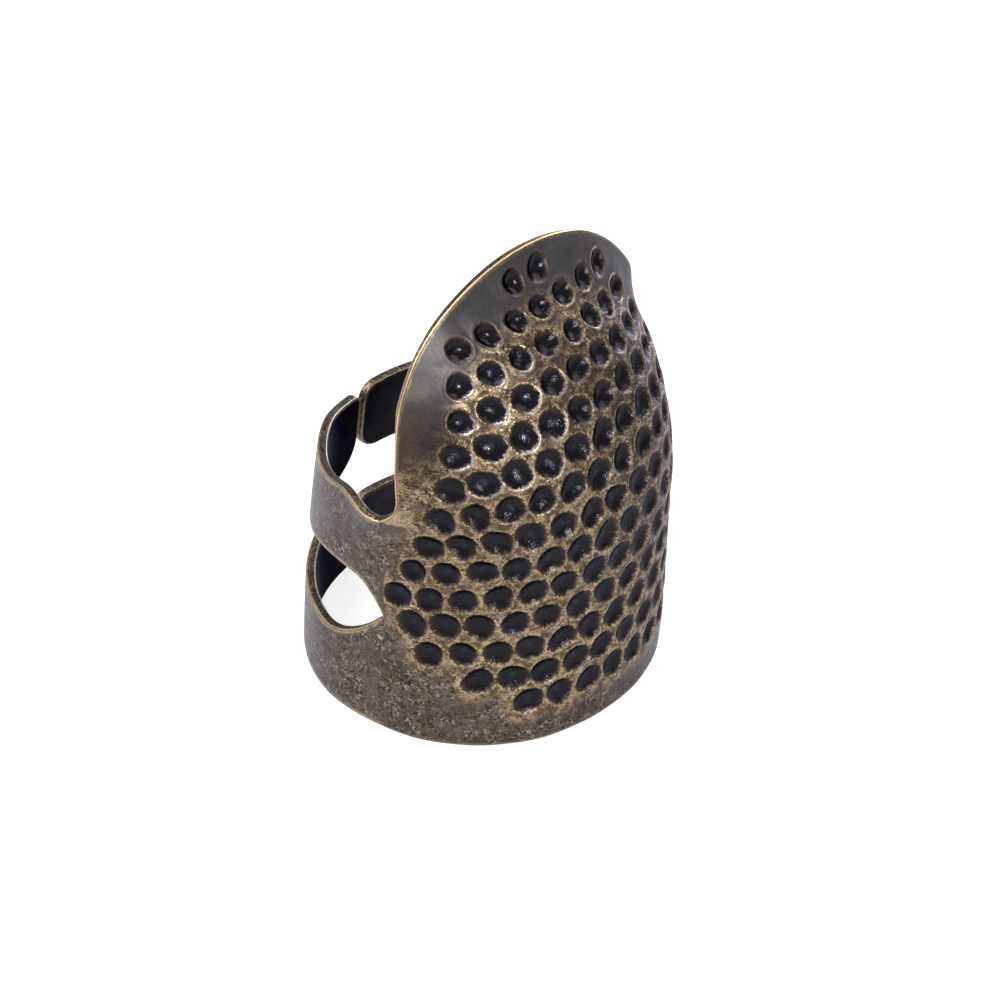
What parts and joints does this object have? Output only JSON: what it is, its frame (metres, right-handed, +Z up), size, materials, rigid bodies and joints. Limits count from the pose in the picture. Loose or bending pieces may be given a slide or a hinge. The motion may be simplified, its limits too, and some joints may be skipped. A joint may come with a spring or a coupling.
{
  "type": "thimble",
  "caption": "Open-backed metal thimble: a dimpled shield for the finger pad and tip on a ring of bendable arms that open at the back.",
  "frame": {"origin": "on the bottom edge's plane, under the middle of the whole thimble", "axes": "+Z up to the fingertip, -Y out of the middle of the shield's front, +X to the right seen from the front"},
  "size_m": [0.0222, 0.0206, 0.0287],
  "materials": {
    "dimpled_brass": "antique brass, dark in the dimples and worn bright on the ridges",
    "band_brass": "antique brass, brushed, with worn edges"
  },
  "bodies": {
    "shield": {"shield": "dimpled_brass"},
    "upper_left_arm": {"upper_left_arm": "band_brass"},
    "upper_right_arm": {"upper_right_arm": "band_brass"},
    "lower_left_arm": {"lower_left_arm": "band_brass"},
    "lower_right_arm": {"lower_right_arm": "band_brass"}
  },
  "joints": [
    {"name": "upper_left_bend", "type": "hinge", "parent": "shield", "child": "upper_left_arm", "pos_m": [-0.01048, -0.00193, 0.012], "axis": [0, 0, 1], "range_deg": [0, 15]},
    {"name": "upper_right_bend", "type": "hinge", "parent": "shield", "child": "upper_right_arm", "pos_m": [0.01048, -0.00193, 0.012], "axis": [0, 0, -1], "range_deg": [0, 15]},
    {"name": "lower_left_bend", "type": "hinge", "parent": "shield", "child": "lower_left_arm", "pos_m": [-0.01043, -0.00194, 0.004], "axis": [0, 0, 1], "range_deg": [0, 15]},
    {"name": "lower_right_bend", "type": "hinge", "parent": "shield", "child": "lower_right_arm", "pos_m": [0.01043, -0.00194, 0.004], "axis": [0, 0, -1], "range_deg": [0, 15]}
  ]
}
